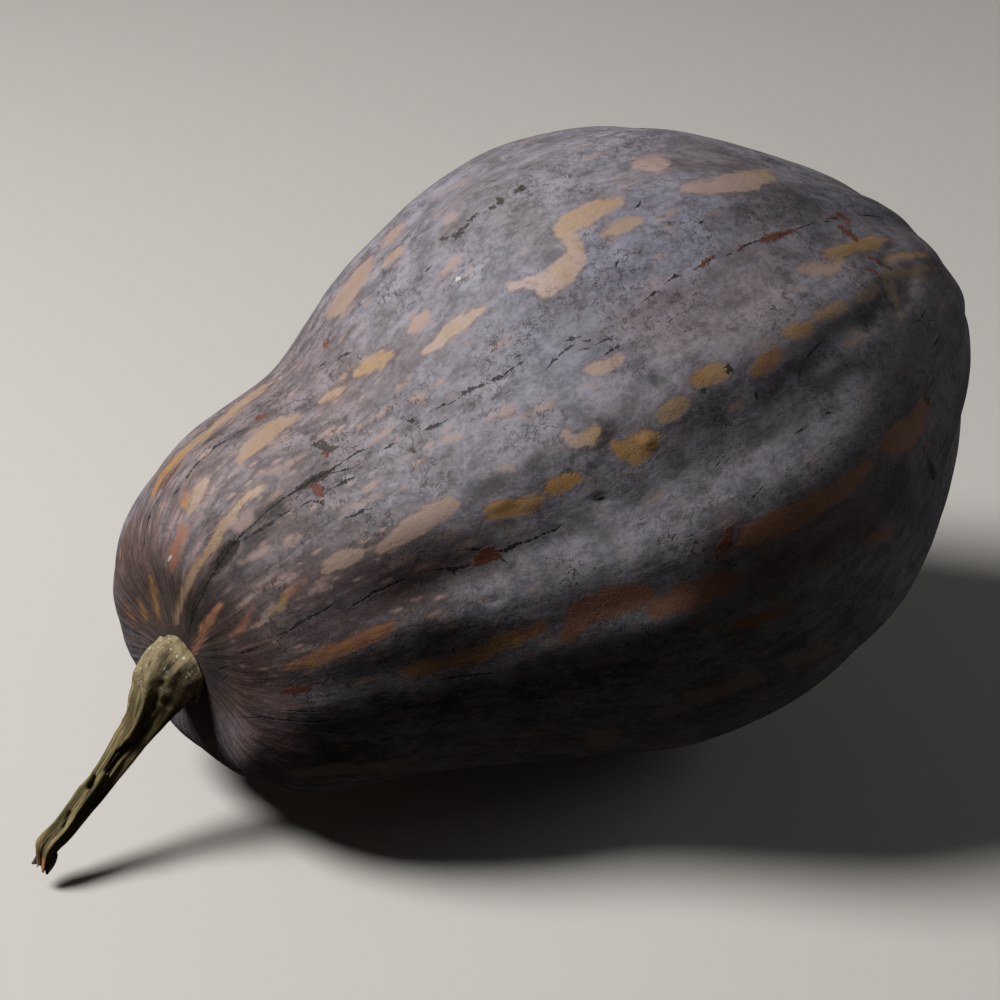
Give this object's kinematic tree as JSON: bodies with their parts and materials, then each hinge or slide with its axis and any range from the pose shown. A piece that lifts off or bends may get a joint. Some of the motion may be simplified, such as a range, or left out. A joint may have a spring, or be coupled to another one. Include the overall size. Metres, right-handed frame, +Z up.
{
  "type": "winter squash",
  "caption": "Pear-shaped winter squash with shallow ribs and a dry, ridged stem, lying on its belly as picked.",
  "frame": {"origin": "on the surface the squash lies on, below the middle of its length and width", "axes": "+X from the stem end to the blossom end, +Y to the back, +Z up"},
  "size_m": [0.4094, 0.2735, 0.2398],
  "materials": {
    "skin": "waxy grey bloom over dark olive skin, with tan and rust-orange patches and dry cracks",
    "stem": "dry khaki wood with dark grooves and a torn tip"
  },
  "bodies": {
    "root": {"fruit": "skin", "stem": "stem"}
  },
  "joints": []
}
